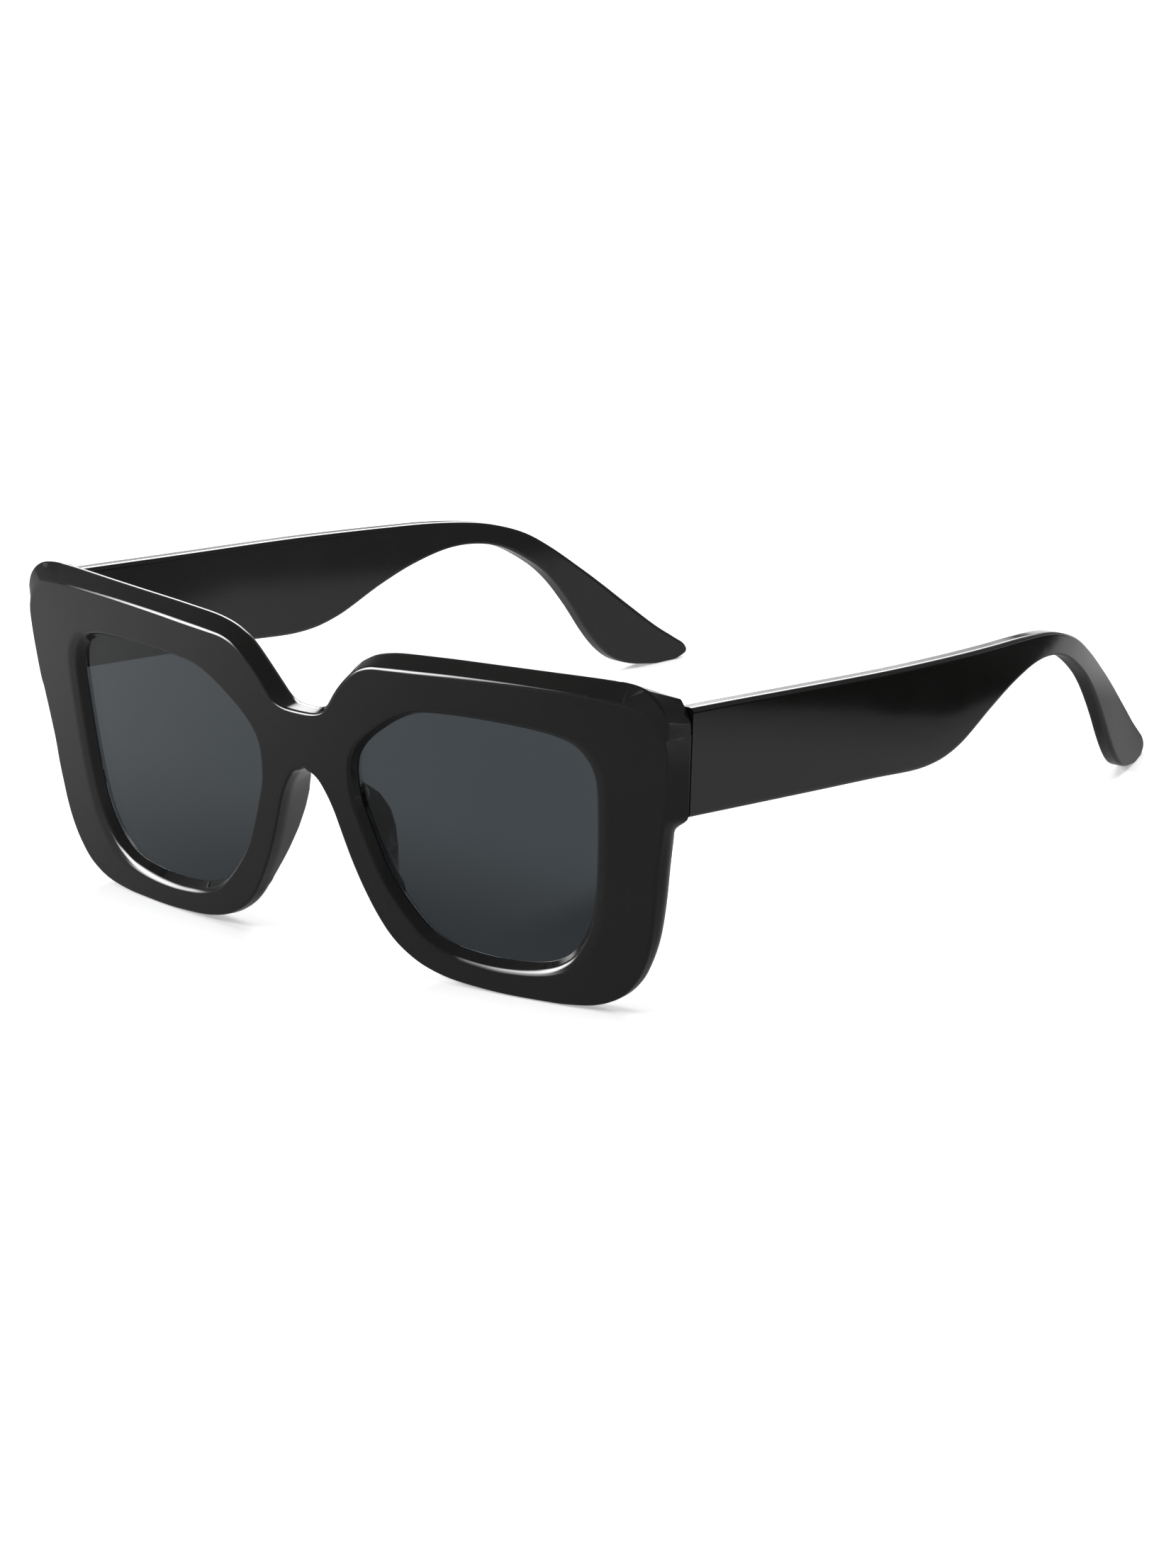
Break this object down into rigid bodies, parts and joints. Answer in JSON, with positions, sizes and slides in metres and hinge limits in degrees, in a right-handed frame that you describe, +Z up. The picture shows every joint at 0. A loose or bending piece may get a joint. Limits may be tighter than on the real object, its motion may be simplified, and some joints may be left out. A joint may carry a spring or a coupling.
{
  "type": "sunglasses",
  "caption": "Oversized black sunglasses with a thick bevelled front that curves round the face, dark tinted lenses and broad folding temples that narrow to flared ear hooks.",
  "frame": {"origin": "on the plane that the open glasses rest on, under the middle of their width and of their depth", "axes": "+X to the wearer's left, +Y back from the lenses to the ears, +Z up; the lenses face -Y"},
  "size_m": [0.1484, 0.1492, 0.055],
  "materials": {
    "black_frame": "polished",
    "smoke_lens": "polished smoke tint",
    "hinge_metal": "satin",
    "screw_metal": "polished"
  },
  "bodies": {
    "front": {"front_frame": "black_frame", "right_lens": "smoke_lens", "left_lens": "smoke_lens", "right_front_hinge_leaf": "hinge_metal", "left_front_hinge_leaf": "hinge_metal", "right_hinge_screw": "screw_metal", "left_hinge_screw": "screw_metal", "right_front_leaf_screws": "screw_metal", "left_front_leaf_screws": "screw_metal"},
    "right_arm": {"right_temple": "black_frame", "right_temple_hinge_leaf": "hinge_metal", "right_temple_leaf_screws": "screw_metal"},
    "left_arm": {"left_temple": "black_frame", "left_temple_hinge_leaf": "hinge_metal", "left_temple_leaf_screws": "screw_metal"}
  },
  "joints": [
    {"name": "left_temple_fold", "type": "hinge", "parent": "front", "child": "left_arm", "pos_m": [0.0692, -0.0622, 0.043], "axis": [0, 0, 1], "range_deg": [0, 82]},
    {"name": "right_temple_fold", "type": "hinge", "parent": "front", "child": "right_arm", "pos_m": [-0.0692, -0.0622, 0.043], "axis": [0, 0, -1], "range_deg": [0, 74]}
  ]
}
